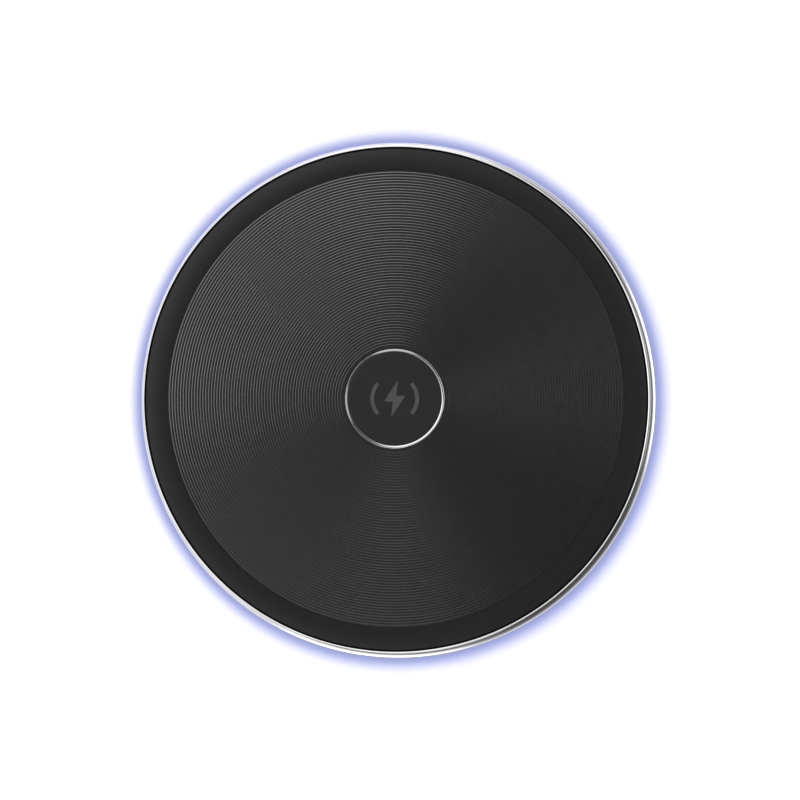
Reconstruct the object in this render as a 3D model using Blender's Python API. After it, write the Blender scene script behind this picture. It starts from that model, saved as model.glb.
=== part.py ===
"""Round wireless charging pad with a light ring under its metal trim, as separate pieces.

Metres, +Z up.  The origin is the centre of the surface that the pad stands on, and +Y points to the
USB-C port.  The dimensions below are in millimetres; MM turns them into metres where meshes are made.
"""

import math

import bmesh
import bpy
from mathutils import Vector

MM = 0.001
RING_SIDES = 64            # facets of the large outer pieces, the same so that nested rings fit
INNER_SIDES = 32           # facets of the discs and rings inside them
SMALL_SIDES = 16           # facets of screws, posts and holes
SHARP_ANGLE = math.radians(35.0)
GAP = 0.05                 # clearance between faces that touch

# Heights above the resting surface
CASE_BASE = 0.6
FOOT_SEAT = 1.17
CASE_FLOOR = 1.9
TRIM_BASE = 2.0
BOARD_BASE = 3.0
BOARD_TOP = 4.0
SOLDER_TOP = BOARD_TOP + GAP
BRACKET_BASE = 5.0
BRACKET_TOP = 5.8
FERRITE_TOP = 6.85
COIL_HEIGHT = 7.45
TRIM_LEDGE = 7.2
BOSS_BASE = 7.75
COVER_CEILING = 8.2
TRIM_TOP = 8.35
BADGE_SEAT = 8.55
SHOULDER_TOP = 9.12
PLATEAU_TOP = 9.4

# Top cover
PLATEAU_RADIUS = 43.8
SHOULDER_RADIUS = 43.95
COVER_RADIUS = 48.26
SHOULDER_STEPS = 5
SHOULDER_POWER = 2.2       # how late the shoulder falls away towards the edge
SKIRT_INNER = 45.7
SKIRT_OUTER = 46.9
SKIRT_BASE = 5.3
BADGE_POCKET_RADIUS = 9.6
BOSS_RADIUS = 10.1
POST_RADIUS = 2.5
POST_PITCH_RADIUS = 37.5
PILOT_RADIUS = 0.8
PILOT_TOP = 7.4

# Badge and its ring
CENTRE_RING_INNER = 9.1
CENTRE_RING_TOP = 9.42
CENTRE_RING_EDGE = 0.05
CENTRE_RING_SLOPE = math.radians(14.0)
BADGE_RADIUS = 9.05
BADGE_TOP = 9.3
BADGE_EDGE = 0.08
TAPE_THICKNESS = 0.1

# Trim ring
TRIM_INNER = 47.3
TRIM_MOUTH = 48.55
CHAMFER_INNER = 48.64
CHAMFER_OUTER = 48.84
CHAMFER_DEPTH = 0.2
WALL_RADIUS = 49.05
PAD_RADIUS = 50.0          # at the lip, the widest place
LIP_BASE = 2.12
LIP_CREST = 2.6            # just under the port's opening
LIP_ROUND_STEPS = 4

# Light guide
GUIDE_RADIUS = 49.3
GUIDE_BASE = 0.8
GUIDE_EDGE = 0.3
GUIDE_FLANGE_INNER = 46.1
GUIDE_NECK_INNER = 45.0
GUIDE_NECK_OUTER = 47.2
GUIDE_NECK_TOP = 5.2

# Bottom case
CASE_RADIUS = 46.0
CASE_CHAMFER = 0.35
SCREW_BOSS_RADIUS = 3.6
COUNTERBORE_RADIUS = 2.2
COUNTERBORE_TOP = 2.15
SCREW_HOLE_RADIUS = 1.2

# Foot ring
FOOT_INNER = 32.0
FOOT_OUTER = 43.0
FOOT_TOP = 1.03
FOOT_CHAMFER = 0.3

# Screws
CASE_SCREW_HEAD = (1.9, 0.8)       # radius, height
CASE_SCREW_SHANK = (0.75, 4.6)
CASE_SCREW_BASE = 1.3
BRACKET_SCREW_HEAD = (1.5, 0.7)
BRACKET_SCREW_SHANK = (0.55, 2.4)
RECESS_ARM = 0.32
RECESS_SPAN = 1.3                  # length of the cross, in head radii
RECESS_DEPTH = 0.45

# Coil stack
BRACKET_RADIUS = 26.2
BRACKET_RIM = 0.8
BRACKET_RIM_TOP = 6.6
EAR_PITCH_RADIUS = 29.5
EAR_RADIUS = 4.2
EAR_CENTRE_RADIUS = 27.8
EAR_HOLE_RADIUS = 0.8
EAR_POST_RADIUS = 2.2
EAR_PILOT_RADIUS = 0.6
EAR_ANGLES = (90.0, 210.0, 330.0)
FERRITE_RADIUS = 25.2
CENTRE_HOLE_RADIUS = 2.2
COIL_TAPE_INNER = 10.3
COIL_TAPE_OUTER = 23.0
LEAD_SLOT_WIDTH = 2.6
LEAD_SLOT_START = 9.0
LEAD_OFFSET = -0.6
RIM_NOTCH_WIDTH = 1.6
WIRE_RADIUS = 0.45
COIL_INNER_RADIUS = 11.0
TURN_PITCH = 1.1
TURNS = 10
POINTS_PER_TURN = 24
SPIRAL_START = 278.0

# Thermistor
BEAD_RADIUS = 0.9
BEAD_ROUND = 0.25
BEAD_BASE = 6.95
BEAD_TOP = 7.6
BEAD_LEAD_OFFSET = 0.5
BEAD_LEAD_WIDTH = 0.3

# Circuit board
BOARD_RADIUS = 44.5
POST_HOLE_RADIUS = 2.8
BOARD_NOTCH_WIDTH = 9.6
LED_COUNT = 8
LED_PITCH_RADIUS = 43.8
LED_SIZE = (1.1, 3.2, 0.8)

# Components on the board: centres, and sizes as length along X, along Y and height
CHIP_EDGE = 0.08
CERAMIC_EDGE = 0.15
CONTROLLER_PLACE = (-9.0, -7.0)
CONTROLLER_SIZE = (6.0, 6.0, 0.8)
BRIDGE_X = 10.0
BRIDGE_SPACING = 6.8
BRIDGE_SIZE = (5.0, 6.0, 0.72)
RESONANT_COUNT = 4
RESONANT_X = 34.5
RESONANT_SPACING = 4.0
RESONANT_SIZE = (3.2, 2.5, 2.0)
INPUT_CAPACITOR_PLACE = (-13.0, 35.0)
INPUT_CAPACITOR_SPACING = 4.2
INPUT_CAPACITOR_SIZE = (2.5, 3.2, 2.2)
INDUCTOR_PLACE = (13.0, 36.0)
INDUCTOR_SIZE = (7.0, 7.0, 3.0)
INDUCTOR_EDGE = 0.4
CRYSTAL_PLACE = (-8.0, 8.0)
CRYSTAL_SIZE = (3.2, 2.5, 0.7)
REGULATOR_PLACE = (-34.0, 4.0)
REGULATOR_SIZE = (4.5, 2.5, 1.5)
RESISTOR_PLACE = (-28.0, -18.0)
RESISTOR_SIZE = (6.4, 3.2, 0.6)

# USB-C receptacle and its bezel
PORT_HEIGHT = 4.78
SHELL_SIZE = (8.94, 3.16)
SHELL_WALL = 0.3
SHELL_CORNER = 1.28
SHELL_MOUTH = 48.35
SHELL_LENGTH = 7.3
TONGUE_SIZE = (6.69, 0.7)
TONGUE_RECESS = 0.65
INSULATOR_LENGTH = 1.9
BEZEL_OUTER = (10.3, 4.2)
BEZEL_INNER = (9.3, 3.46)
BEZEL_FLANGE = (11.6, 4.8)
BEZEL_FACE = 48.7
BEZEL_BACK = 46.1
BEZEL_FLANGE_DEPTH = 0.7
PORT_CLEARANCE_WIDTH = 12.4
PORT_CLEARANCE_DEPTH = 12.0
CORNER_STEPS = 4


def clear_scene():
    """Remove whatever the file holds before the pad is built."""
    for item in list(bpy.data.objects):
        bpy.data.objects.remove(item, do_unlink=True)


def finish(name, colour, roughness, metallic=0.0, glow=None):
    """A Principled material; glow is the colour of the light that the piece gives off."""
    material = bpy.data.materials.new(name)
    material.use_nodes = True
    shader = material.node_tree.nodes["Principled BSDF"]
    shader.inputs["Base Color"].default_value = (*colour, 1.0)
    shader.inputs["Roughness"].default_value = roughness
    shader.inputs["Metallic"].default_value = metallic
    if glow:
        shader.inputs["Emission Color"].default_value = (*glow, 1.0)
        shader.inputs["Emission Strength"].default_value = 1.0
    return material


def add_object(name, data, material):
    """Put a mesh or curve in the scene with its material."""
    if material:
        data.materials.append(material)
    item = bpy.data.objects.new(name, data)
    bpy.context.scene.collection.objects.link(item)
    return item


def mesh_object(name, shape, material):
    """Turn a finished bmesh, in millimetres, into a smooth-shaded object in metres."""
    bmesh.ops.scale(shape, vec=(MM, MM, MM), verts=shape.verts)
    bmesh.ops.recalc_face_normals(shape, faces=shape.faces)
    mesh = bpy.data.meshes.new(name)
    shape.to_mesh(mesh)
    shape.free()
    mesh.shade_smooth()
    mesh.set_sharp_from_angle(angle=SHARP_ANGLE)
    return add_object(name, mesh, material)


def stitched(name, rings, material, is_tube=False):
    """A solid through a chain of equal rings: a tube closes on its first ring, a bar gets two caps."""
    shape = bmesh.new()
    loops = [[shape.verts.new(point) for point in ring] for ring in rings]
    pairs = list(zip(loops, loops[1:]))
    if is_tube:
        pairs.append((loops[-1], loops[0]))
    else:
        shape.faces.new(loops[0])
        shape.faces.new(loops[-1])
    for near, far in pairs:
        for index, corner in enumerate(near):
            after = (index + 1) % len(near)
            shape.faces.new((corner, near[after], far[after], far[index]))
    return mesh_object(name, shape, material)


def circle(radius, height, sides, centre):
    """Corners of a level regular polygon."""
    angles = [2.0 * math.pi * side / sides for side in range(sides)]
    return [
        (centre[0] + radius * math.cos(angle), centre[1] + radius * math.sin(angle), height)
        for angle in angles
    ]


def turned(name, outline, material, is_tube=False, sides=RING_SIDES, centre=(0.0, 0.0)):
    """A piece turned from its (radius, height) outline; a disc's outline starts and ends on its faces."""
    rings = [circle(radius, height, sides, centre) for radius, height in outline]
    return stitched(name, rings, material, is_tube)


def disc(name, radius, base, top, material, sides=INNER_SIDES, centre=(0.0, 0.0)):
    """A plain turned disc or rod."""
    return turned(name, [(radius, base), (radius, top)], material, False, sides, centre)


def washer(name, inner, outer, base, top, material):
    """A plain flat ring."""
    outline = [(inner, base), (outer, base), (outer, top), (inner, top)]
    return turned(name, outline, material, True, INNER_SIDES)


def block(name, centre, size, base, material, edge=0.0):
    """An upright block on the height base; size is its length along X, along Y and its height."""
    shape = bmesh.new()
    bmesh.ops.create_cube(shape, size=1.0)
    bmesh.ops.scale(shape, vec=size, verts=shape.verts)
    middle = Vector((centre[0], centre[1], base + size[2] / 2.0))
    bmesh.ops.translate(shape, vec=middle, verts=shape.verts)
    if edge:
        bmesh.ops.bevel(shape, geom=shape.edges[:], offset=edge, segments=1, affect="EDGES")
    return mesh_object(name, shape, material)


def port_outline(size, corner, depth):
    """A rounded rectangle of width and height size round the port's axis, at the distance depth."""
    points = []
    for quarter, (side, level) in enumerate(((1, 1), (-1, 1), (-1, -1), (1, -1))):
        middle_x = side * (size[0] / 2.0 - corner)
        middle_z = PORT_HEIGHT + level * (size[1] / 2.0 - corner)
        for step in range(CORNER_STEPS + 1):
            angle = (quarter + step / CORNER_STEPS) * math.pi / 2.0
            points.append((middle_x + corner * math.cos(angle), depth, middle_z + corner * math.sin(angle)))
    return points


def combine(target, other, operation):
    """Add a Boolean that cuts or joins the other shape, which stays as a wire guide."""
    other.hide_render = True
    other.display_type = "WIRE"
    modifier = target.modifiers.new(other.name, "BOOLEAN")
    modifier.operation = operation
    modifier.solver = "EXACT"
    modifier.object = other


def cut(target, *cutters):
    """Cut each cutter out of the target."""
    for cutter in cutters:
        combine(target, cutter, "DIFFERENCE")


def fuse(target, *extras):
    """Join each extra shape to the target."""
    for extra in extras:
        combine(target, extra, "UNION")


def polar(radius, degrees):
    """A point in the plane of the pad."""
    angle = math.radians(degrees)
    return (radius * math.cos(angle), radius * math.sin(angle))


def post_places():
    """Centres of the four case screws."""
    return [polar(POST_PITCH_RADIUS, 45.0 + 90.0 * index) for index in range(4)]


def ear_places():
    """Centres of the three bracket screws."""
    return [polar(EAR_PITCH_RADIUS, angle) for angle in EAR_ANGLES]


def port_clearance(name, base, top):
    """A cutter behind the port, wide enough for the bezel's flange."""
    centre = (0.0, SHELL_MOUTH - PORT_CLEARANCE_DEPTH / 2.0)
    return block(name, centre, (PORT_CLEARANCE_WIDTH, PORT_CLEARANCE_DEPTH, top - base), base, None)


def shoulder_outline():
    """The cover's smooth shoulder, from its outer edge up to the foot of the plateau."""
    points = []
    for step in range(SHOULDER_STEPS, -1, -1):
        share = step / SHOULDER_STEPS
        radius = SHOULDER_RADIUS + share * (COVER_RADIUS - SHOULDER_RADIUS)
        fall = (SHOULDER_TOP - TRIM_TOP) * share ** SHOULDER_POWER
        points.append((radius, SHOULDER_TOP - fall))
    return points


def make_top_cover(material):
    """Cover with a raised plateau, a pocket for the badge, a skirt, four posts and three short posts."""
    outline = [
        (BOSS_RADIUS, BOSS_BASE),
        (BOSS_RADIUS, COVER_CEILING),
        (SKIRT_INNER, COVER_CEILING),
        (SKIRT_INNER, SKIRT_BASE),
        (SKIRT_OUTER, SKIRT_BASE),
        (SKIRT_OUTER, TRIM_LEDGE + GAP),
        (COVER_RADIUS, TRIM_LEDGE + GAP),
        *shoulder_outline(),
        (PLATEAU_RADIUS, PLATEAU_TOP),
        (BADGE_POCKET_RADIUS, PLATEAU_TOP),
        (BADGE_POCKET_RADIUS, BADGE_SEAT),
    ]
    cover = turned("top_cover", outline, material)
    root = (COVER_CEILING + PLATEAU_TOP) / 2.0
    for index, place in enumerate(post_places(), start=1):
        post = disc(f"guide_post_{index}", POST_RADIUS, BOARD_BASE, root, None, SMALL_SIDES, place)
        pilot = disc(f"guide_pilot_{index}", PILOT_RADIUS, CASE_BASE, PILOT_TOP, None, SMALL_SIDES, place)
        fuse(cover, post)
        cut(cover, pilot)
    for index, place in enumerate(ear_places(), start=1):
        base = BRACKET_TOP + GAP
        post = disc(f"guide_ear_post_{index}", EAR_POST_RADIUS, base, root, None, SMALL_SIDES, place)
        pilot = disc(f"guide_ear_pilot_{index}", EAR_PILOT_RADIUS, BOARD_TOP, COVER_CEILING, None,
                     SMALL_SIDES, place)
        fuse(cover, post)
        cut(cover, pilot)
    cut(cover, port_clearance("guide_skirt_notch", BOARD_TOP, TRIM_LEDGE + GAP))
    return cover


def make_centre_ring(material):
    """Thin ring round the badge, its top cut to slope in towards it."""
    outer = BADGE_POCKET_RADIUS - GAP
    crest = outer - CENTRE_RING_EDGE
    fall = (crest - CENTRE_RING_INNER) * math.tan(CENTRE_RING_SLOPE)
    outline = [
        (CENTRE_RING_INNER, BADGE_SEAT + GAP),
        (outer, BADGE_SEAT + GAP),
        (outer, CENTRE_RING_TOP - CENTRE_RING_EDGE),
        (crest, CENTRE_RING_TOP),
        (CENTRE_RING_INNER, CENTRE_RING_TOP - fall),
    ]
    return turned("centre_ring", outline, material, is_tube=True)


def make_badge(badge_material, tape_material):
    """Badge disc and the round tape that holds it."""
    tape_base = BADGE_SEAT + GAP / 2.0
    tape_top = tape_base + TAPE_THICKNESS
    disc("badge_tape", BADGE_RADIUS - BADGE_EDGE, tape_base, tape_top, tape_material)
    outline = [
        (BADGE_RADIUS, tape_top + GAP / 2.0),
        (BADGE_RADIUS, BADGE_TOP - BADGE_EDGE),
        (BADGE_RADIUS - BADGE_EDGE, BADGE_TOP),
    ]
    turned("centre_badge", outline, badge_material, sides=INNER_SIDES)


def lip_outline():
    """The lip's upper side, a quarter of an ellipse from the widest place up to the foot of the wall."""
    width = PAD_RADIUS - WALL_RADIUS
    height = LIP_CREST - LIP_BASE
    points = []
    for step in range(LIP_ROUND_STEPS + 1):
        turn = math.pi / 2.0 * step / LIP_ROUND_STEPS
        points.append((WALL_RADIUS + width * math.cos(turn), LIP_BASE + height * math.sin(turn)))
    return points


def make_trim_ring(material):
    """Metal side ring: rounded lip, upright wall, top chamfer, ledge for the cover, port opening."""
    outline = [
        (TRIM_INNER, TRIM_BASE),
        (PAD_RADIUS - (LIP_BASE - TRIM_BASE), TRIM_BASE),
        *lip_outline(),
        (CHAMFER_OUTER, TRIM_TOP - CHAMFER_DEPTH),
        (CHAMFER_INNER, TRIM_TOP),
        (TRIM_MOUTH, TRIM_TOP),
        (TRIM_MOUTH, TRIM_LEDGE),
        (TRIM_INNER, TRIM_LEDGE),
    ]
    trim = turned("trim_ring", outline, material, is_tube=True)
    size = (BEZEL_OUTER[0] + 2.0 * GAP, BEZEL_OUTER[1] + 2.0 * GAP)
    corner = SHELL_CORNER + GAP
    rings = [port_outline(size, corner, depth) for depth in (BEZEL_BACK, PAD_RADIUS + 1.0)]
    cut(trim, stitched("guide_port", rings, None))
    return trim


def make_light_guide(material):
    """Clear ring: its flange shows under the trim, and its neck stands in front of the LEDs."""
    outline = [
        (GUIDE_FLANGE_INNER, GUIDE_BASE),
        (GUIDE_RADIUS - GUIDE_EDGE, GUIDE_BASE),
        (GUIDE_RADIUS, GUIDE_BASE + GUIDE_EDGE),
        (GUIDE_RADIUS, TRIM_BASE - GAP),
        (GUIDE_NECK_OUTER, TRIM_BASE - GAP),
        (GUIDE_NECK_OUTER, GUIDE_NECK_TOP),
        (GUIDE_NECK_INNER, GUIDE_NECK_TOP),
        (GUIDE_NECK_INNER, CASE_FLOOR + GAP),
        (GUIDE_FLANGE_INNER, CASE_FLOOR + GAP),
    ]
    guide = turned("light_guide", outline, material, is_tube=True)
    cut(guide, port_clearance("guide_neck_notch", LIP_BASE, PLATEAU_TOP))
    return guide


def make_bottom_case(material):
    """Floor with a recess for the foot ring and four screw bosses with counterbores."""
    outline = [
        (FOOT_INNER - GAP, CASE_BASE),
        (FOOT_INNER - GAP, FOOT_SEAT),
        (FOOT_OUTER + GAP, FOOT_SEAT),
        (FOOT_OUTER + GAP, CASE_BASE),
        (CASE_RADIUS - CASE_CHAMFER, CASE_BASE),
        (CASE_RADIUS, CASE_BASE + CASE_CHAMFER),
        (CASE_RADIUS, CASE_FLOOR),
    ]
    case = turned("bottom_case", outline, material)
    middle = (FOOT_SEAT + CASE_FLOOR) / 2.0
    for index, place in enumerate(post_places(), start=1):
        boss = disc(f"guide_boss_{index}", SCREW_BOSS_RADIUS, middle, BOARD_BASE - GAP, None,
                    SMALL_SIDES, place)
        bore = disc(f"guide_bore_{index}", COUNTERBORE_RADIUS, CASE_BASE, COUNTERBORE_TOP, None,
                    SMALL_SIDES, place)
        hole = disc(f"guide_hole_{index}", SCREW_HOLE_RADIUS, CASE_BASE, BOARD_TOP, None,
                    SMALL_SIDES, place)
        fuse(case, boss)
        cut(case, bore, hole)
    return case


def make_foot(foot_material, tape_material):
    """Silicone ring that the pad stands on, and the tape behind it."""
    outline = [
        (FOOT_INNER + FOOT_CHAMFER, 0.0),
        (FOOT_OUTER - FOOT_CHAMFER, 0.0),
        (FOOT_OUTER, FOOT_CHAMFER),
        (FOOT_OUTER, FOOT_TOP),
        (FOOT_INNER, FOOT_TOP),
        (FOOT_INNER, FOOT_CHAMFER),
    ]
    turned("foot_ring", outline, foot_material, is_tube=True)
    base = FOOT_TOP + GAP / 2.0
    margin = 2.0 * TAPE_THICKNESS
    washer("foot_tape", FOOT_INNER + margin, FOOT_OUTER - margin, base, base + TAPE_THICKNESS / 2.0,
           tape_material)


def screw_mesh(name, head, shank, material):
    """Mesh of a screw that points up from its head, with a cross recess in the head's lower face."""
    outline = [(head[0], 0.0), (head[0], head[1]), (shank[0], head[1]), (shank[0], head[1] + shank[1])]
    screw = turned(name, outline, material, sides=SMALL_SIDES)
    length = RECESS_SPAN * head[0]
    for index, size in enumerate(((length, RECESS_ARM), (RECESS_ARM, length))):
        arm = block(f"{name}_arm_{index}", (0.0, 0.0), (*size, 2.0 * RECESS_DEPTH), -RECESS_DEPTH, None)
        cut(screw, arm)
    bpy.context.view_layer.update()
    graph = bpy.context.evaluated_depsgraph_get()
    mesh = bpy.data.meshes.new_from_object(screw.evaluated_get(graph))
    bpy.data.objects.remove(screw, do_unlink=True)
    return mesh


def make_screws(material):
    """Four case screws under the foot ring and three bracket screws."""
    case_mesh = screw_mesh("case_screw", CASE_SCREW_HEAD, CASE_SCREW_SHANK, material)
    for index, (x, y) in enumerate(post_places(), start=1):
        screw = add_object(f"case_screw_{index}", case_mesh, None)
        screw.location = Vector((x, y, CASE_SCREW_BASE)) * MM
    bracket_mesh = screw_mesh("bracket_screw", BRACKET_SCREW_HEAD, BRACKET_SCREW_SHANK, material)
    for index, (x, y) in enumerate(ear_places(), start=1):
        screw = add_object(f"bracket_screw_{index}", bracket_mesh, None)
        height = BRACKET_BASE - GAP - BRACKET_SCREW_HEAD[1]
        screw.location = Vector((x, y, height)) * MM


def lead_slot(name, base, top):
    """Cutter for the slot, along -Y, that the coil's inner lead runs in."""
    length = BRACKET_RADIUS + 1.0 - LEAD_SLOT_START
    centre = (0.0, -LEAD_SLOT_START - length / 2.0)
    return block(name, centre, (LEAD_SLOT_WIDTH, length, top - base), base, None)


def make_coil_bracket(material):
    """Aluminium plate with a low rim and three screw ears, which also spreads the bridge's heat."""
    outline = [
        (CENTRE_HOLE_RADIUS, BRACKET_BASE),
        (BRACKET_RADIUS, BRACKET_BASE),
        (BRACKET_RADIUS, BRACKET_RIM_TOP),
        (BRACKET_RADIUS - BRACKET_RIM, BRACKET_RIM_TOP),
        (BRACKET_RADIUS - BRACKET_RIM, BRACKET_TOP),
        (CENTRE_HOLE_RADIUS, BRACKET_TOP),
    ]
    bracket = turned("coil_bracket", outline, material, True, INNER_SIDES)
    for index, (place, angle) in enumerate(zip(ear_places(), EAR_ANGLES), start=1):
        ear = disc(f"guide_ear_{index}", EAR_RADIUS, BRACKET_BASE + GAP, BRACKET_TOP - GAP, None,
                   INNER_SIDES, polar(EAR_CENTRE_RADIUS, angle))
        hole = disc(f"guide_ear_hole_{index}", EAR_HOLE_RADIUS, BOARD_TOP, FERRITE_TOP, None,
                    SMALL_SIDES, place)
        fuse(bracket, ear)
        cut(bracket, hole)
    notch = block("guide_rim_notch", (LEAD_OFFSET, -BRACKET_RADIUS),
                  (RIM_NOTCH_WIDTH, 4.0 * BRACKET_RIM, FERRITE_TOP - BRACKET_TOP), BRACKET_TOP, None)
    cut(bracket, notch)
    return bracket


def make_ferrite(ferrite_material, tape_material):
    """Ferrite shield disc and the tape that holds the winding on it, both slotted for the lead."""
    ferrite = washer("ferrite_disc", CENTRE_HOLE_RADIUS, FERRITE_RADIUS, BRACKET_TOP + GAP, FERRITE_TOP,
                     ferrite_material)
    cut(ferrite, lead_slot("guide_ferrite_slot", BRACKET_TOP, COIL_HEIGHT))
    tape_base = FERRITE_TOP + GAP / 2.0
    tape = washer("coil_tape", COIL_TAPE_INNER, COIL_TAPE_OUTER, tape_base, tape_base + TAPE_THICKNESS,
                  tape_material)
    cut(tape, lead_slot("guide_tape_slot", BRACKET_TOP, COIL_HEIGHT))


def smooth_path(points, steps):
    """Points of a Catmull-Rom curve through the given points, without its very last one."""
    padded = [points[0], *points, points[-1]]
    path = []
    for before, start, end, after in zip(padded, padded[1:], padded[2:], padded[3:]):
        for step in range(steps):
            share = step / steps
            path.append(0.5 * (
                2.0 * start
                + (end - before) * share
                + (2.0 * before - 5.0 * start + 4.0 * end - after) * share ** 2
                + (3.0 * start - before - 3.0 * end + after) * share ** 3
            ))
    return path


def on_route(radius, degrees, height):
    """A point of the coil's wire."""
    return Vector((*polar(radius, degrees), height))


def coil_route():
    """The winding's one wire: board pad, inner lead in the slot, flat spiral, outer lead, board pad."""
    pad_height = SOLDER_TOP + WIRE_RADIUS + GAP
    slot_height = (BRACKET_TOP + FERRITE_TOP) / 2.0
    outer_radius = COIL_INNER_RADIUS + TURNS * TURN_PITCH
    spiral_end = SPIRAL_START + 360.0 * TURNS
    inner_lead = [
        Vector((LEAD_OFFSET, -31.8, pad_height)),
        Vector((LEAD_OFFSET, -30.0, pad_height)),
        Vector((LEAD_OFFSET, -28.4, pad_height + 0.6)),
        Vector((LEAD_OFFSET, -26.6, slot_height)),
        Vector((LEAD_OFFSET, -24.0, slot_height)),
        Vector((LEAD_OFFSET, -13.4, slot_height)),
        Vector((LEAD_OFFSET, -11.6, slot_height + 0.15)),
        Vector((LEAD_OFFSET / 2.0, -10.9, slot_height + 0.65)),
        Vector((0.3, -10.8, COIL_HEIGHT - 0.1)),
        on_route(COIL_INNER_RADIUS, SPIRAL_START, COIL_HEIGHT),
    ]
    spiral = []
    for step in range(TURNS * POINTS_PER_TURN):
        turn = step / POINTS_PER_TURN
        spiral.append(on_route(COIL_INNER_RADIUS + turn * TURN_PITCH, SPIRAL_START + 360.0 * turn,
                               COIL_HEIGHT))
    outer_lead = [
        on_route(outer_radius, spiral_end, COIL_HEIGHT),
        on_route(outer_radius + 1.2, spiral_end + 7.0, COIL_HEIGHT),
        on_route(outer_radius + 3.4, spiral_end + 12.0, COIL_HEIGHT - 0.1),
        on_route(outer_radius + 5.4, spiral_end + 15.0, COIL_HEIGHT - 0.7),
        on_route(outer_radius + 6.6, spiral_end + 17.0, pad_height + 0.9),
        on_route(outer_radius + 8.0, spiral_end + 18.0, pad_height),
        on_route(outer_radius + 9.8, spiral_end + 18.0, pad_height),
    ]
    return smooth_path(inner_lead, 2) + spiral + smooth_path(outer_lead, 2) + [outer_lead[-1]]


def make_coil(material):
    """Flat transmitter winding with both its leads, one continuous wire."""
    route = coil_route()
    data = bpy.data.curves.new("tx_coil", "CURVE")
    data.dimensions = "3D"
    data.bevel_depth = WIRE_RADIUS * MM
    data.bevel_resolution = 1
    data.use_fill_caps = True
    spline = data.splines.new("POLY")
    spline.points.add(len(route) - 1)
    for point, place in zip(spline.points, route):
        point.co = (*(place * MM), 1.0)
    return add_object("tx_coil", data, material)


def make_thermistor(material):
    """Glass bead in the middle of the winding, on two stiff leads that stand on the board."""
    outline = [
        (BEAD_RADIUS - BEAD_ROUND, BEAD_BASE),
        (BEAD_RADIUS, BEAD_BASE + BEAD_ROUND),
        (BEAD_RADIUS, BEAD_TOP - BEAD_ROUND),
        (BEAD_RADIUS - BEAD_ROUND, BEAD_TOP),
    ]
    bead = turned("thermistor", outline, material, sides=SMALL_SIDES)
    length = (BEAD_BASE + BEAD_TOP) / 2.0 - SOLDER_TOP
    for index, side in enumerate((-1.0, 1.0), start=1):
        lead = block(f"guide_bead_lead_{index}", (side * BEAD_LEAD_OFFSET, 0.0),
                     (BEAD_LEAD_WIDTH, BEAD_LEAD_WIDTH, length), SOLDER_TOP, None)
        fuse(bead, lead)
    return bead


def make_board(material):
    """Round circuit board with clearance holes for the posts and a notch for the receptacle."""
    board = disc("main_pcb", BOARD_RADIUS, BOARD_BASE, BOARD_TOP, material)
    for index, place in enumerate(post_places(), start=1):
        hole = disc(f"guide_board_hole_{index}", POST_HOLE_RADIUS, CASE_FLOOR, SOLDER_TOP, None,
                    SMALL_SIDES, place)
        cut(board, hole)
    back = SHELL_MOUTH - SHELL_LENGTH - GAP
    depth = SHELL_MOUTH - back
    notch = block("guide_board_notch", (0.0, back + depth / 2.0),
                  (BOARD_NOTCH_WIDTH, depth, BRACKET_BASE - CASE_FLOOR), CASE_FLOOR, None)
    cut(board, notch)
    return board


def make_chips(package, pad_material):
    """Controller and the two bridge chips under the bracket, with the pad that takes their heat."""
    block("controller_ic", CONTROLLER_PLACE, CONTROLLER_SIZE, SOLDER_TOP, package, CHIP_EDGE)
    for index, side in enumerate((-0.5, 0.5), start=1):
        place = (BRIDGE_X, side * BRIDGE_SPACING)
        block(f"bridge_ic_{index}", place, BRIDGE_SIZE, SOLDER_TOP, package, CHIP_EDGE)
    base = SOLDER_TOP + BRIDGE_SIZE[2] + GAP / 2.0
    size = (BRIDGE_SIZE[0] + 1.0, BRIDGE_SPACING + BRIDGE_SIZE[1], BRACKET_BASE - GAP / 2.0 - base)
    block("thermal_pad", (BRIDGE_X, 0.0), size, base, pad_material)


def make_passives(package, ceramic, core, can):
    """Capacitors, inductor, crystal, regulator and sense resistor on the board's top."""
    for index in range(RESONANT_COUNT):
        place = (RESONANT_X, RESONANT_SPACING * (index - (RESONANT_COUNT - 1) / 2.0))
        block(f"resonant_capacitor_{index + 1}", place, RESONANT_SIZE, SOLDER_TOP, ceramic, CERAMIC_EDGE)
    for index in range(2):
        place = (INPUT_CAPACITOR_PLACE[0] - index * INPUT_CAPACITOR_SPACING, INPUT_CAPACITOR_PLACE[1])
        block(f"input_capacitor_{index + 1}", place, INPUT_CAPACITOR_SIZE, SOLDER_TOP, ceramic,
              CERAMIC_EDGE)
    block("power_inductor", INDUCTOR_PLACE, INDUCTOR_SIZE, SOLDER_TOP, core, INDUCTOR_EDGE)
    block("crystal", CRYSTAL_PLACE, CRYSTAL_SIZE, SOLDER_TOP, can, CHIP_EDGE)
    block("voltage_regulator", REGULATOR_PLACE, REGULATOR_SIZE, SOLDER_TOP, package, CHIP_EDGE)
    block("sense_resistor", RESISTOR_PLACE, RESISTOR_SIZE, SOLDER_TOP, package, CHIP_EDGE)


def make_leds(material):
    """Side-emitting LEDs round the board's edge, facing out into the light guide's neck."""
    for index in range(LED_COUNT):
        degrees = 360.0 * (index + 0.5) / LED_COUNT
        led = block(f"led_{index + 1}", (0.0, 0.0), LED_SIZE, SOLDER_TOP, material, CHIP_EDGE)
        led.location = Vector((*polar(LED_PITCH_RADIUS, degrees), 0.0)) * MM
        led.rotation_euler.z = math.radians(degrees)


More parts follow.
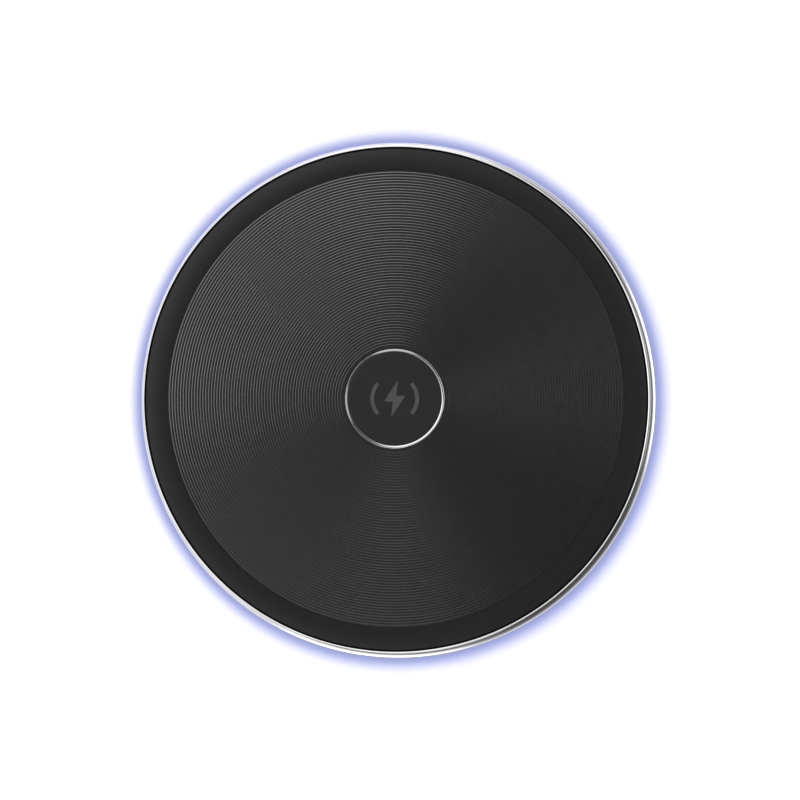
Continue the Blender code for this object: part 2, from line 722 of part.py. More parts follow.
def make_receptacle(metal, plastic):
    """USB-C shell, open at both ends, and the block with the contact tongue that fills its back."""
    inner = (SHELL_SIZE[0] - 2.0 * SHELL_WALL, SHELL_SIZE[1] - 2.0 * SHELL_WALL)
    inner_corner = SHELL_CORNER - SHELL_WALL
    back = SHELL_MOUTH - SHELL_LENGTH
    rings = [
        port_outline(SHELL_SIZE, SHELL_CORNER, back),
        port_outline(SHELL_SIZE, SHELL_CORNER, SHELL_MOUTH),
        port_outline(inner, inner_corner, SHELL_MOUTH),
        port_outline(inner, inner_corner, back),
    ]
    stitched("usb_c_shell", rings, metal, is_tube=True)
    core = (inner[0] - 2.0 * GAP, inner[1] - 2.0 * GAP)
    front = back + INSULATOR_LENGTH
    ends = [port_outline(core, inner_corner - GAP, depth) for depth in (back + GAP, front)]
    insulator = stitched("usb_c_insulator", ends, plastic)
    tip = SHELL_MOUTH - TONGUE_RECESS
    overlap = 1.0
    tongue = block("guide_tongue", (0.0, (front - overlap + tip) / 2.0),
                   (TONGUE_SIZE[0], tip - front + overlap, TONGUE_SIZE[1]),
                   PORT_HEIGHT - TONGUE_SIZE[1] / 2.0, None)
    fuse(insulator, tongue)


def make_bezel(material):
    """Sleeve that lines the opening in the trim, held from inside by its flange."""
    flange_front = BEZEL_BACK + BEZEL_FLANGE_DEPTH
    inner_corner = SHELL_CORNER - GAP
    rings = [
        port_outline(BEZEL_FLANGE, SHELL_CORNER, BEZEL_BACK),
        port_outline(BEZEL_FLANGE, SHELL_CORNER, flange_front),
        port_outline(BEZEL_OUTER, SHELL_CORNER, flange_front),
        port_outline(BEZEL_OUTER, SHELL_CORNER, BEZEL_FACE),
        port_outline(BEZEL_INNER, inner_corner, BEZEL_FACE),
        port_outline(BEZEL_INNER, inner_corner, BEZEL_BACK),
    ]
    stitched("port_bezel", rings, material, is_tube=True)


def build():
    """Make every piece of the pad."""
    clear_scene()
    black_plastic = finish("black_plastic", (0.018, 0.018, 0.019), 0.42)
    case_plastic = finish("case_plastic", (0.02, 0.02, 0.022), 0.55)
    badge_plastic = finish("badge_plastic", (0.026, 0.026, 0.026), 0.5)
    chrome = finish("chrome", (0.86, 0.86, 0.88), 0.1, metallic=1.0)
    steel = finish("steel", (0.62, 0.62, 0.64), 0.3, metallic=1.0)
    aluminium = finish("aluminium", (0.75, 0.76, 0.78), 0.35, metallic=1.0)
    copper = finish("enamelled_copper", (0.72, 0.28, 0.12), 0.35, metallic=1.0)
    silicone = finish("silicone", (0.03, 0.03, 0.032), 0.8)
    clear_guide = finish("clear_guide", (0.8, 0.82, 0.95), 0.3, glow=(0.3, 0.35, 1.0))
    led_body = finish("led_body", (0.9, 0.9, 0.85), 0.4, glow=(0.3, 0.35, 1.0))
    tape = finish("tape", (0.75, 0.72, 0.62), 0.7)
    ferrite = finish("ferrite", (0.06, 0.06, 0.065), 0.6)
    board = finish("board", (0.02, 0.11, 0.05), 0.45)
    package = finish("chip_package", (0.03, 0.03, 0.032), 0.5)
    ceramic = finish("ceramic", (0.5, 0.38, 0.26), 0.5)
    heat_pad = finish("heat_pad", (0.45, 0.5, 0.58), 0.8)

    make_top_cover(black_plastic)
    make_centre_ring(chrome)
    make_badge(badge_plastic, tape)
    make_trim_ring(chrome)
    make_light_guide(clear_guide)
    make_bottom_case(case_plastic)
    make_foot(silicone, tape)
    make_screws(steel)
    make_coil_bracket(aluminium)
    make_ferrite(ferrite, tape)
    make_coil(copper)
    make_thermistor(package)
    make_board(board)
    make_chips(package, heat_pad)
    make_passives(package, ceramic, ferrite, steel)
    make_leds(led_body)
    make_receptacle(steel, package)
    make_bezel(case_plastic)


build()
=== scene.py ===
"""The looks of the round wireless charging pad: fine meshes, materials, studio and camera."""
import math

import bmesh
import bpy
import numpy as np
from mathutils import Matrix, Vector


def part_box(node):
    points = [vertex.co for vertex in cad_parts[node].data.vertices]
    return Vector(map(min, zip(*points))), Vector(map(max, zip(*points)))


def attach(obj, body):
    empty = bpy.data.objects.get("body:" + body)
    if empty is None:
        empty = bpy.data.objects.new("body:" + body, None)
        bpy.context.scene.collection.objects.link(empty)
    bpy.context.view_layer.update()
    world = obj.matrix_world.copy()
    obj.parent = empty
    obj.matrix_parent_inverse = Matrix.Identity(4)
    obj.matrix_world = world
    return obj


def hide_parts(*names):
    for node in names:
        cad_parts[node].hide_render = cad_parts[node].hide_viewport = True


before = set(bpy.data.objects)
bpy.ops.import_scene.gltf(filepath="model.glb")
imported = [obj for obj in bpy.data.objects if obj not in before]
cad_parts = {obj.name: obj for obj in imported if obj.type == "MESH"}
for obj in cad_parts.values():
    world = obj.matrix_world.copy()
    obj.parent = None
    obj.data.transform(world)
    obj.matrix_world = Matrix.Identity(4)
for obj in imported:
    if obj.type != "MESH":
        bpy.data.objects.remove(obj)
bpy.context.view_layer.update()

MM = 0.001
SHARP_ANGLE = math.radians(25.0)
OVERLAP = 0.1              # how far shapes of one piece reach into each other

# Facets of turned shapes, and points or steps of curved outlines
FINE = 256                 # unless another count is given
CASE_SIDES = 192
FOOT_SIDES = 160
FLOOR_SIDES = 96
ARC_SIDES = 40
POST_SIDES = 32
SHOULDER_STEPS = 24
COVER_EDGE_POINTS = 7
LIP_STEPS = 14

# Turned outlines as the CAD has them: radii and heights in millimetres that a node's box can't tell
PLATEAU_RADIUS = 43.8
SHOULDER_RADIUS = 43.95
SHOULDER_TOP = 9.12
SHOULDER_POWER = 2.2       # how late the shoulder falls away towards the edge
COVER_CEILING = 8.2
BOSS_RADIUS = 10.1
BOSS_BASE = 7.75
SKIRT_INNER = 45.7
SKIRT_OUTER = 46.9
SKIRT_BASE = 5.3
FLANGE_BASE = 7.25
POCKET_RADIUS = 9.6
POCKET_FLOOR = 8.55
POST_PITCH_RADIUS = 37.5
POST_ANGLES = tuple(math.pi * (0.25 + 0.5 * index) for index in range(4))
POST_RADII = (0.8, 2.5)
EAR_PITCH_RADIUS = 29.5
EAR_ANGLES = tuple(math.pi * (0.5 + index / 1.5) for index in range(3))
EAR_RADII = (0.6, 2.2)
EAR_POST_BASE = 5.85
TRIM_INNER = 47.3
TRIM_MOUTH = 48.55
TRIM_LEDGE = 7.2
CHAMFER_INNER = 48.64
CHAMFER_OUTER = 48.84
WALL_RADIUS = 49.05
LIP_FOOT = 0.12            # from the trim's base up to the widest place
LIP_CREST = 2.6
GUIDE_FLANGE_INNER = 46.1
GUIDE_NECK = (45.0, 47.2)
GUIDE_FLANGE_TOP = 1.95
GUIDE_CHAMFER = 0.3
RING_INNER = 9.1
RING_EDGE = 0.05
RING_SLOPE = math.radians(14.0)
CASE_FLOOR = 1.9
CASE_CHAMFER = 0.35
CASE_BOSS_RADII = (1.2, 3.6)
FOOT_SEAT = 1.17
FOOT_WIDTH = 11.0
FOOT_GAP = 0.05

# Softened edges and small features that only the fine meshes have, in millimetres
LIP_POWER = 1.4            # of the lip's slope: 1 is a quarter of an ellipse, 2 a straight line
COVER_EDGE = 0.12          # rounding of the cover's outer edge
FLANGE_BEVEL = 0.08
PLATEAU_BREAK = (0.02, 0.06)                 # step outwards and drop at the plateau's rim
POCKET_LAND = 0.12                           # from the pocket to the innermost groove
POCKET_BREAK = ((0.02, 0.02), (0.0, 0.05))   # steps outwards and drops at the pocket's rim
BADGE_EDGE = 0.08
BADGE_FLAT = 0.9           # share of the badge's radius where its flat face starts
NECK_INSET = 0.02
NECK_WEB = 0.01            # thickness of the sheet that ties the guide's neck to its flange
PANEL_RADIUS = 20.0        # of the plain panel in the middle of the underside
PANEL_STEP = 0.1
PANEL_DEPTH = 0.15
CHANNEL_HALF_WIDTH = 0.35
CHANNEL_DEPTH = 0.25
CHANNEL_PLACES = (1.0 / 3.0, 2.0 / 3.0)      # shares of the foot's width

# Grooves of the plateau
GROOVE_PITCH = 0.5451
GROOVES_END = PLATEAU_RADIUS - 0.04
GROOVE_SLOPES = (math.radians(18.0), math.radians(19.5))     # of the innermost and outermost facet
GROOVE_FACETS = (0.15, 0.41)     # width of the innermost and outermost facet as a share of the pitch
GROOVE_VALLEY = 0.96             # where the facet ends and the riser starts, as a share of the pitch
GROOVE_EASING = 0.05             # width of the soft edge between land and facet, as such a share too

# Symbol on the badge: corners of the bolt as (x, y, rounding), and the arcs on both its sides
BOLT = ((0.75, 3.7, 0.12), (-2.05, -0.55, 0.12), (-0.3, -0.55, 0.12),
        (-0.75, -3.7, 0.12), (2.05, 0.55, 0.12), (0.3, 0.55, 0.12))
ARC_RADII = (3.95, 4.7)
ARC_HALF_SPAN = math.radians(42.0)
INK_ROOT = 0.02            # how far the ink reaches into the badge
INK_HEIGHT = 0.025

# Charging port at the back, sizes as (width, height)
PORT_CLEARANCE = 12.4
PORT_CORNER = 1.28
OPENING_GAP = 0.05         # between the trim's opening and the bezel
CUTTER_REACH = 1.0         # how far the cutter stands out of the trim
BEZEL_SIZE = (10.3, 4.2)
BEZEL_MOUTH = (9.3, 3.46)
BEZEL_FLANGE = (11.6, 4.8)
BEZEL_FLANGE_DEPTH = 0.7
BEZEL_SOFT = 0.08
BEZEL_INNER_CORNER = PORT_CORNER - 0.05
SHELL_WALL = 0.3
CONTACTS = 12              # on each face of the tongue
LONG_CONTACTS = (0, 3, 8, 11)
CONTACT_INSETS = (0.35, 0.7)     # of the long and the short ones from the tongue's front
CONTACT_START = 2.2
CONTACT_PITCH = 0.5
CONTACT_WIDTH = 0.26
CONTACT_THICKNESS = 0.035
TONGUE_HALF_HEIGHT = 0.35

# The trim's inside, left unplated and coloured near black as painted shade of the gap round the cover;
# lengths in millimetres, and the lights in the pad
SHADED_GAP_RADIUS = CHAMFER_INNER - 0.02
MASK_BLEND = 0.01
PAINTED_GAP_SHADE = (0.006, 0.006, 0.006, 1.0)
MASKED_ROUGHNESS = 0.7
GUIDE_LIGHT = (0.22, 0.26, 1.0, 1.0)
GUIDE_STRENGTH = 0.9
LED_LIGHT = (0.34, 0.38, 1.0, 1.0)
LED_STRENGTH = 4.0

# Table, and the pool of blue-violet light and shade painted on it; lengths in millimetres
FLOOR_RADIUS = 6000.0
FLOOR_DEPTH = 30.0
FLOOR_DROP = 0.01          # the table's top lies this far under the foot
FLOOR_STRENGTH = 0.53
HALO_REACH = 5.0           # out from the trim
HALO_ROOT = 2.0            # in under the guide
HALO_ONSET = 0.2           # inside the trim's edge, where the light starts to fade
HALO_HEIGHTS = (0.02, 0.04)
PAINTED_HALO_COLOUR = (0.33, 0.37, 0.7, 1.0)
HALO_STOPS = ((0.0, 0.93), (0.08, 0.88), (0.2, 0.6), (0.34, 0.31), (0.5, 0.12), (0.72, 0.02), (1.0, 0.0))

# World: radiance at the horizon and of the ceiling, and heights of the ray between which they change
HORIZON_LIGHT = 1.1
CEILING_LIGHT = 0.11
CEILING_RISE = (0.1, 0.93)
OVERHEAD_LIGHT = 0.075     # added straight above
OVERHEAD_RISE = (0.88, 0.97)
# Azimuth, half width, lowest and highest elevation in degrees, gain and added radiance of each card
CARDS = (
    (-45.0, 34.0, 10.0, 75.0, -0.5, 0.0),
    (55.0, 25.0, 10.0, 75.0, -0.45, 0.0),
    (8.0, 26.0, 0.0, 46.0, 1.6, 0.0),
    (-100.0, 26.0, 0.0, 46.0, 1.4, 0.0),
    (127.0, 54.0, 50.0, 67.0, 0.0, 1.0),
    (136.0, 72.0, 25.0, 57.0, 0.0, 0.66),
    (146.0, 150.0, 25.0, 57.0, 0.0, 0.62),
)
CARD_CORE = 0.45           # share of a card's half width that has its full strength
CARD_FADES = (4.0, 6.0)    # degrees over which a card fades at its lower and upper edge

SOFTBOX_DISTANCE = 1.0     # metres
# Name, azimuth, zenith angle and half width in degrees, and radiance of each softbox
SOFTBOXES = (
    ("left_softbox", 176.0, 44.0, 9.0, 0.3),
    ("back_softbox", 100.0, 44.0, 9.0, 0.2),
    ("right_fill", 12.0, 22.0, 9.5, 0.45),
    ("front_fill", -100.0, 23.0, 10.5, 0.62),
)

CAMERA_DISTANCE = 0.65     # metres
CAMERA_TILT = math.radians(4.24)
CAMERA_AZIMUTH = math.radians(-22.6)
CAMERA_LENS = 150.13
CAMERA_SENSOR = 36.0
CAMERA_AIM = Vector((0.39, -0.002, 0.0)) * MM


def millimetres(node):
    """A node's lowest and highest corner in millimetres."""
    low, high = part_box(node)
    return Vector(low) / MM, Vector(high) / MM


def turn(outline, closed=True, sides=FINE, span=None):
    """Corners and faces of a turned shape; span, as two angles, turns only that far, with end caps."""
    full = span is None
    start, end = (0.0, 2.0 * math.pi) if full else span
    count = sides if full else sides + 1
    angles = np.linspace(start, end, count, endpoint=not full)
    profile = np.array(outline)
    corners = np.empty((len(profile), count, 3))
    corners[..., 0] = profile[:, :1] * np.cos(angles)
    corners[..., 1] = profile[:, :1] * np.sin(angles)
    corners[..., 2] = profile[:, 1:]
    rows = len(profile)
    faces = []
    last_row = rows if closed else rows - 1
    for row in range(last_row):
        near = row * count
        far = ((row + 1) % rows) * count
        for side in range(count if full else count - 1):
            after = (side + 1) % count
            faces.append((near + side, near + after, far + after, far + side))
    if not closed:
        faces.append(tuple(reversed(range(count))))
        faces.append(tuple(range((rows - 1) * count, rows * count)))
    if not full:
        faces.append(tuple(row * count for row in range(rows)))
        faces.append(tuple(row * count + count - 1 for row in reversed(range(rows))))
    return corners.reshape(-1, 3), faces


def joined(*shapes):
    """Several corner and face lists as one."""
    corners = []
    faces = []
    for shape_corners, shape_faces in shapes:
        start = len(corners)
        corners.extend(map(tuple, shape_corners))
        faces.extend(tuple(index + start for index in face) for face in shape_faces)
    return corners, faces


def new_object(name, shape):
    """A new object in the scene with the shape as its mesh, brought from millimetres to metres."""
    corners, faces = shape
    mesh = bpy.data.meshes.new(name)
    mesh.from_pydata((np.array(corners) * MM).tolist(), [], faces)
    made = bpy.data.objects.new(name, mesh)
    bpy.context.scene.collection.objects.link(made)
    return made


def mesh_piece(name, shape, material, nodes=()):
    """A smooth-shaded piece that rides on the pad and stands for the given nodes."""
    piece = new_object(name, shape)
    piece.data.validate()
    piece.data.materials.append(material)
    shade(piece)
    return enlist(piece, nodes)


def shade(piece):
    """Smooth shading that keeps flat faces flat and hard edges hard."""
    piece.data.shade_smooth()
    piece.data.set_sharp_from_angle(angle=SHARP_ANGLE)
    weighted = piece.modifiers.new("flat_faces_stay_flat", "WEIGHTED_NORMAL")
    weighted.keep_sharp = True


def enlist(piece, nodes=()):
    """Hand a piece to the frame: its body and the nodes that it stands for."""
    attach(piece, "root")
    if nodes:
        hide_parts(*nodes)
    return piece


def rounded(outline, steps=4):
    """An outline of (radius, height, rounding) corners with each rounding worked out as an arc."""
    points = []
    for index, (x, y, radius) in enumerate(outline):
        here = Vector((x, y))
        if radius == 0.0:
            points.append((x, y))
            continue
        before = Vector(outline[index - 1][:2]) - here
        after = Vector(outline[(index + 1) % len(outline)][:2]) - here
        half = before.angle(after) / 2.0
        reach = min(radius / math.tan(half), 0.49 * before.length, 0.49 * after.length)
        radius = reach * math.tan(half)
        middle = here + (before.normalized() + after.normalized()).normalized() * (radius / math.sin(half))
        first = here + before.normalized() * reach - middle
        sweep = first.angle_signed(here + after.normalized() * reach - middle)
        for step in range(steps + 1):
            spoke = first.copy()
            spoke.rotate(Matrix.Rotation(-sweep * step / steps, 2))
            points.append(tuple(middle + spoke))
    return points


# ---------------------------------------------------------------- materials

def add_node(tree, kind, settings=None, **inputs):
    """Add a node to a tree; each input, by name or as i and its index, is a value or what feeds it."""
    node = tree.nodes.new(kind)
    for key, value in (settings or {}).items():
        setattr(node, key, value)
    for key, value in inputs.items():
        socket = node.inputs[int(key[1:])] if key[0] == "i" and key[1:].isdigit() else node.inputs[key]
        if isinstance(value, bpy.types.NodeSocket):
            tree.links.new(value, socket)
        else:
            socket.default_value = value
    return node


class Nodes:
    """A material's node tree with short calls for adding and linking nodes."""

    def __init__(self, name, colour, roughness, metallic=0.0):
        self.material = bpy.data.materials.new(name)
        self.material.use_nodes = True
        self.tree = self.material.node_tree
        self.shader = self.tree.nodes["Principled BSDF"]
        self.put("Base Color", (*colour, 1.0))
        self.put("Roughness", roughness)
        self.put("Metallic", metallic)
        self.place = self.add("ShaderNodeTexCoord").outputs["Object"]

    def put(self, socket, value):
        """Set one of the shader's own sockets."""
        self.shader.inputs[socket].default_value = value

    def add(self, kind, settings=None, **inputs):
        """Add a node to the material's tree."""
        return add_node(self.tree, kind, settings, **inputs)

    def feed(self, output, socket):
        """Link an output to one of the shader's sockets."""
        self.tree.links.new(output, self.shader.inputs[socket])

    def noise(self, scale, detail=3.0, stretch=(1.0, 1.0, 1.0), roughness=0.6):
        """Noise in the object's own metres, stretched along an axis where a stretch is below 1."""
        vector = self.add("ShaderNodeMapping", i0=self.place, Scale=stretch).outputs[0]
        return self.add("ShaderNodeTexNoise", Vector=vector, Scale=scale, Detail=detail,
                        Roughness=roughness).outputs["Fac"]

    def radius(self):
        """The distance from the pad's axis in metres."""
        flat = self.add("ShaderNodeVectorMath", {"operation": "MULTIPLY"}, i0=self.place,
                        i1=(1.0, 1.0, 0.0)).outputs[0]
        return self.add("ShaderNodeVectorMath", {"operation": "LENGTH"}, i0=flat).outputs["Value"]

    def beyond(self, radius):
        """1 further from the pad's axis than a radius in millimetres, 0 nearer to it."""
        return self.add("ShaderNodeMapRange", i0=self.radius(), i1=(radius - MASK_BLEND) * MM,
                        i2=(radius + MASK_BLEND) * MM, i3=0.0, i4=1.0).outputs[0]

    def ring_noise(self, scale, detail=2.0):
        """Noise that changes only with the distance from the pad's axis, as turning marks do."""
        return self.add("ShaderNodeTexNoise", {"noise_dimensions": "1D"}, W=self.radius(), Scale=scale,
                        Detail=detail).outputs["Fac"]

    def mixed(self, first, second, share=0.5):
        """The weighted sum of two outputs."""
        return self.add("ShaderNodeMix", {"data_type": "FLOAT"}, i0=share, i2=first, i3=second).outputs[0]

    def spread(self, output, low, high, from_low=0.3, from_high=0.7):
        """Map a noise's usual range to low and high."""
        return self.add("ShaderNodeMapRange", i0=output, i1=from_low, i2=from_high, i3=low,
                        i4=high).outputs[0]

    def tint(self, output, dark, light, low=0.3, high=0.7):
        """Blend two base colours by an output."""
        ramp = self.add("ShaderNodeValToRGB", i0=output)
        ramp.color_ramp.elements[0].position = low
        ramp.color_ramp.elements[0].color = (*dark, 1.0)
        ramp.color_ramp.elements[1].position = high
        ramp.color_ramp.elements[1].color = (*light, 1.0)
        self.feed(ramp.outputs[0], "Base Color")

    def bump(self, output, depth):
        """Raise the surface by depth metres times an output."""
        bump = self.add("ShaderNodeBump", Strength=1.0, Distance=depth, Height=output)
        self.feed(bump.outputs[0], "Normal")


def plateau_material():
    """Satin dark metal finish: turning marks, faint mottling and slightly uneven gloss."""
    look = Nodes("plateau_black", (0.12, 0.12, 0.123), 0.25, 1.0)
    marks = look.ring_noise(9000.0)
    uneven = look.mixed(marks, look.noise(420.0, 4.0))
    look.tint(uneven, (0.112, 0.112, 0.115), (0.128, 0.128, 0.131))
    look.feed(look.spread(uneven, 0.18, 0.24), "Roughness")
    look.bump(look.mixed(marks, look.noise(6000.0, 2.0)), 0.000005)
    return look.material


def shoulder_material():
    """The same moulding left matt, with a fine even grain."""
    look = Nodes("shoulder_black", (0.015, 0.015, 0.0155), 0.52)
    look.put("Specular IOR Level", 0.32)
    grain = look.noise(5200.0, 3.0)
    look.tint(look.mixed(grain, look.noise(420.0, 4.0)), (0.009, 0.009, 0.0095), (0.013, 0.013, 0.0135))
    look.feed(look.spread(grain, 0.4, 0.52), "Roughness")
    look.bump(grain, 0.000006)
    return look.material


def badge_material():
    """Smooth satin cap with very fine grain."""
    look = Nodes("badge_black", (0.017, 0.017, 0.017), 0.42)
    grain = look.noise(5200.0, 3.0)
    look.tint(look.noise(350.0, 3.0), (0.011, 0.011, 0.011), (0.014, 0.014, 0.014))
    look.feed(look.spread(grain, 0.38, 0.47), "Roughness")
    look.bump(grain, 0.000003)
    return look.material


def symbol_material():
    """Grey printed ink, a little uneven."""
    look = Nodes("symbol_grey", (0.075, 0.075, 0.075), 0.5)
    look.tint(look.noise(2500.0, 3.0), (0.068, 0.068, 0.068), (0.082, 0.082, 0.082))
    look.feed(look.spread(look.noise(4000.0), 0.45, 0.58), "Roughness")
    return look.material


def chrome_material(name, shaded_gap_radius=None):
    """Bright plating with faint polishing haze; inside the given radius it is unplated and coloured near
    black, painted shade of the gap round the cover.
    """
    look = Nodes(name, (0.72, 0.72, 0.73), 0.08, 1.0)
    haze = look.noise(160.0, 4.0)
    marks = look.ring_noise(26000.0, 3.0)
    look.tint(haze, (0.68, 0.68, 0.69), (0.75, 0.75, 0.76))
    gloss = look.spread(look.mixed(haze, marks, 0.35), 0.05, 0.13)
    if shaded_gap_radius:
        # inside this radius the near-black colour is painted shade of the gap between cover and trim, and
        # the metal is left unplated
        plated = look.beyond(shaded_gap_radius)
        ramp = look.shader.inputs["Base Color"].links[0].from_socket
        cover = look.add("ShaderNodeMix", {"data_type": "RGBA"}, i0=plated, i6=PAINTED_GAP_SHADE,
                         i7=ramp).outputs[2]
        look.feed(cover, "Base Color")
        look.feed(plated, "Metallic")
        gloss = look.mixed(MASKED_ROUGHNESS, gloss, plated)
    look.feed(gloss, "Roughness")
    look.bump(marks, 0.0000004)
    return look.material


def guide_material():
    """Milky plastic that glows blue-violet."""
    look = Nodes("guide_glow", (0.3, 0.33, 0.8), 0.3)
    cloud = look.noise(260.0, 3.0)
    look.tint(cloud, (0.26, 0.29, 0.76), (0.34, 0.37, 0.84))
    look.feed(look.spread(cloud, 0.25, 0.38), "Roughness")
    look.put("Emission Color", GUIDE_LIGHT)
    look.put("Emission Strength", GUIDE_STRENGTH)
    return look.material


def moulded_material(name, colour, roughness, scale=2600.0, depth=0.00002):
    """Spark-eroded dark plastic or epoxy."""
    look = Nodes(name, colour, roughness)
    grain = look.noise(scale, 4.0)
    dark = tuple(channel * 0.82 for channel in colour)
    light = tuple(channel * 1.25 for channel in colour)
    look.tint(look.mixed(grain, look.noise(scale / 12.0, 3.0)), dark, light)
    look.feed(look.spread(grain, roughness - 0.07, roughness + 0.08), "Roughness")
    look.bump(grain, depth)
    return look.material


def silicone_material():
    """Matt rubber with fine grain and the dust that it picks up."""
    look = Nodes("foot_silicone", (0.022, 0.022, 0.023), 0.8)
    grain = look.noise(3800.0, 3.0)
    dust = look.noise(700.0, 6.0, roughness=0.75)
    look.tint(dust, (0.019, 0.019, 0.02), (0.045, 0.044, 0.042), 0.45, 0.78)
    look.feed(look.spread(grain, 0.72, 0.9), "Roughness")
    look.bump(grain, 0.00002)
    return look.material


def metal_material(name, colour, roughness, stretch=(1.0, 0.04, 1.0)):
    """Rolled or brushed metal with its grain along one axis."""
    look = Nodes(name, colour, roughness, 1.0)
    grain = look.noise(5200.0, 3.0, stretch)
    dark = tuple(channel * 0.86 for channel in colour)
    light = tuple(min(channel * 1.1, 1.0) for channel in colour)
    look.tint(look.mixed(grain, look.noise(300.0)), dark, light)
    look.feed(look.spread(grain, roughness - 0.08, roughness + 0.1), "Roughness")
    look.bump(grain, 0.000004)
    return look.material


def copper_material():
    """Enamelled strands, twisted together."""
    look = Nodes("litz_copper", (0.72, 0.3, 0.12), 0.32, 1.0)
    strands = look.add("ShaderNodeTexWave", {"bands_direction": "DIAGONAL"}, Vector=look.place,
                       Scale=900.0, Distortion=1.5, Detail=2.0).outputs["Fac"]
    look.tint(strands, (0.42, 0.14, 0.05), (0.8, 0.37, 0.16), 0.1, 0.7)
    look.feed(look.spread(strands, 0.42, 0.28, 0.0, 1.0), "Roughness")
    look.bump(strands, 0.00005)
    return look.material


def board_material():
    """Green solder mask with tracks that show faintly through it."""
    look = Nodes("solder_mask", (0.02, 0.12, 0.05), 0.35)
    tracks = look.add("ShaderNodeTexBrick", {"offset": 0.37}, Vector=look.place, Scale=230.0,
                      Color1=(0.0, 0.0, 0.0, 1.0), Color2=(0.35, 0.35, 0.35, 1.0),
                      Mortar=(1.0, 1.0, 1.0, 1.0)).outputs["Fac"]
    weave = look.noise(1500.0, 2.0)
    look.tint(look.mixed(tracks, weave, 0.3), (0.012, 0.085, 0.035), (0.03, 0.17, 0.075), 0.1, 0.9)
    look.feed(look.spread(weave, 0.28, 0.42), "Roughness")
    look.bump(tracks, 0.00002)
    return look.material


def capacitor_material(name, axis):
    """Tan ceramic body with tinned ends along the given axis."""
    look = Nodes(name, (0.42, 0.3, 0.19), 0.5)
    generated = look.add("ShaderNodeTexCoord").outputs["Generated"]
    along = look.add("ShaderNodeSeparateXYZ", Vector=generated).outputs[axis]
    middle = look.add("ShaderNodeMath", {"operation": "SUBTRACT"}, i0=along, i1=0.5).outputs[0]
    distance = look.add("ShaderNodeMath", {"operation": "ABSOLUTE"}, i0=middle).outputs[0]
    ends = look.add("ShaderNodeMath", {"operation": "GREATER_THAN"}, i0=distance, i1=0.33).outputs[0]
    look.tint(ends, (0.42, 0.3, 0.19), (0.7, 0.7, 0.68), 0.4, 0.6)
    look.feed(ends, "Metallic")
    look.feed(look.spread(look.noise(3000.0), 0.35, 0.55), "Roughness")
    look.bump(look.noise(4000.0), 0.00001)
    return look.material


def led_material():
    """White package whose lens is lit."""
    look = Nodes("led_lit", (0.85, 0.86, 0.9), 0.35)
    look.tint(look.noise(2000.0), (0.8, 0.81, 0.86), (0.9, 0.9, 0.93))
    look.put("Emission Color", LED_LIGHT)
    look.put("Emission Strength", LED_STRENGTH)
    return look.material


def film_material(name, colour):
    """Adhesive film or soft pad, slightly wrinkled."""
    look = Nodes(name, colour, 0.6)
    wrinkles = look.noise(500.0, 5.0)
    dark = tuple(channel * 0.9 for channel in colour)
    look.tint(wrinkles, dark, colour)
    look.feed(look.spread(wrinkles, 0.5, 0.7), "Roughness")
    look.bump(wrinkles, 0.00003)
    return look.material


# ---------------------------------------------------------------- fine pieces

def groove_outline(inner, outer, top):
    """The plateau's grooves from its rim in to the pocket: level lands, and facets that look outwards."""
    count = int((outer - inner) / GROOVE_PITCH)
    crest = outer - count * GROOVE_PITCH
    points = []
    for groove in range(count):
        grown = groove / count
        slope = GROOVE_SLOPES[0] + (GROOVE_SLOPES[1] - GROOVE_SLOPES[0]) * grown
        facet = GROOVE_FACETS[0] + (GROOVE_FACETS[1] - GROOVE_FACETS[0]) * grown
        eased = GROOVE_EASING * GROOVE_PITCH * math.tan(slope / 2.0)
        depth = eased + facet * GROOVE_PITCH * math.tan(slope)
        shape = ((0.0, 0.0), (GROOVE_VALLEY - facet - GROOVE_EASING, 0.0),
                 (GROOVE_VALLEY - facet, eased), (GROOVE_VALLEY, depth))
        for share, fall in shape:
            points.append((crest + (groove + share) * GROOVE_PITCH, top - fall))
    points.append((outer, top))
    return list(reversed(points))


def posts(pitch_radius, angles, radii, base, top):
    """Hollow screw posts, one at each angle."""
    shapes = []
    for angle in angles:
        corners, faces = turn([(radii[0], base), (radii[1], base), (radii[1], top), (radii[0], top)],
                              sides=POST_SIDES)
        shift = np.array([math.cos(angle), math.sin(angle), 0.0]) * pitch_radius
        shapes.append((corners + shift, faces))
    return shapes


def port_gap(radius):
    """The angles that a turned wall spans when it leaves the port's clearance open, at +Y."""
    half = math.asin(PORT_CLEARANCE / 2.0 / radius)
    return (math.pi / 2.0 + half, 2.5 * math.pi - half)


